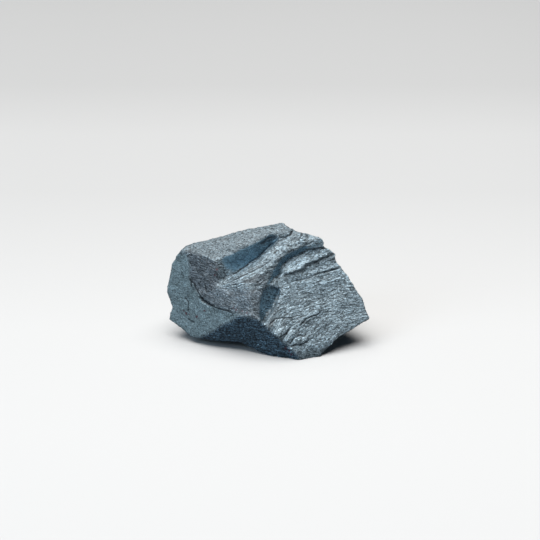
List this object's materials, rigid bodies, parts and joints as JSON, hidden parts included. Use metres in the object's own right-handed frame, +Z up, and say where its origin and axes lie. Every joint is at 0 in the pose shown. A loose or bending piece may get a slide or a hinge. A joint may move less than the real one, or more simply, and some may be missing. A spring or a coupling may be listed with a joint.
{
  "type": "rough hematite lump",
  "caption": "Rough lump of hematite ore with broken facets, a deep wedge-shaped recess, folded ledges and an overhanging end, resting on a small flat foot.",
  "frame": {"origin": "centre of the lump's bounding box, at the level of the surface that it rests on", "axes": "+X along the lump's length, to the right as the broken front is seen; +Y from the front to the back; +Z up"},
  "size_m": [0.0636, 0.038, 0.0351],
  "materials": {
    "hematite": "rough broken iron ore, blue-grey with a fine granular metallic sheen"
  },
  "bodies": {
    "root": {"hematite": "hematite"}
  },
  "joints": []
}
